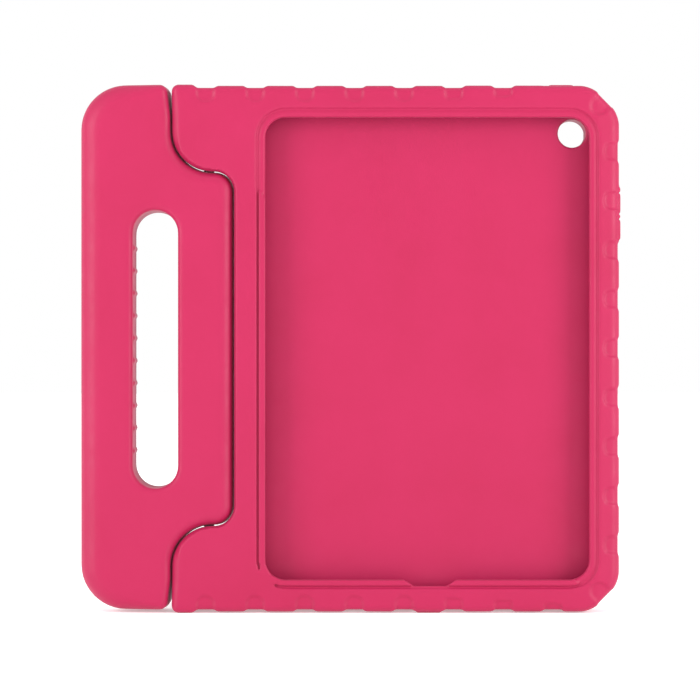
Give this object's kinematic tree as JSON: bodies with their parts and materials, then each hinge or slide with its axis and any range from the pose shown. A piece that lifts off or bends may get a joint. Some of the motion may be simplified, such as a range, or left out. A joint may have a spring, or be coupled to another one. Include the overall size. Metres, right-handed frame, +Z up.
{
  "type": "tablet case",
  "caption": "Soft foam tablet case with a raised rim, tread-like edge recesses and a slotted carry handle that swings back as a stand.",
  "frame": {"origin": "under the middle of the upright case, on the surface it stands on", "axes": "+X to the right seen from the screen side, -Y out of the screen, +Z up"},
  "size_m": [0.2668, 0.026, 0.2605],
  "materials": {
    "foam": "matte moulded closed-cell foam",
    "nylon": "fine moulded satin",
    "steel": "turned and oiled"
  },
  "bodies": {
    "case": {"body_shell": "foam", "upper_arm_socket": "nylon", "upper_hinge_pin": "steel", "upper_thrust_washer": "nylon", "upper_spring_washer": "steel", "upper_retaining_ring": "steel", "lower_arm_socket": "nylon", "lower_hinge_pin": "steel", "lower_thrust_washer": "nylon", "lower_spring_washer": "steel", "lower_retaining_ring": "steel"},
    "handle": {"handle_grip": "foam", "upper_handle_hub": "nylon", "lower_handle_hub": "nylon"},
    "power_key": {"power_button": "foam"},
    "volume_up_key": {"volume_up_button": "foam"},
    "volume_down_key": {"volume_down_button": "foam"}
  },
  "joints": [
    {"name": "handle_swing", "type": "hinge", "parent": "case", "child": "handle", "pos_m": [-0.0703, 0, 0.13025], "axis": [0, 0, -1], "range_deg": [0, 110]},
    {"name": "power_press", "type": "slide", "parent": "case", "child": "power_key", "axis": [0, 0, -1], "range_m": [0, 0.001], "stiffness_N_per_m": 600, "springref_m": -0.0003},
    {"name": "volume_up_press", "type": "slide", "parent": "case", "child": "volume_up_key", "axis": [-1, 0, 0], "range_m": [0, 0.001], "stiffness_N_per_m": 600, "springref_m": -0.0003},
    {"name": "volume_down_press", "type": "slide", "parent": "case", "child": "volume_down_key", "axis": [-1, 0, 0], "range_m": [0, 0.001], "stiffness_N_per_m": 600, "springref_m": -0.0003}
  ]
}
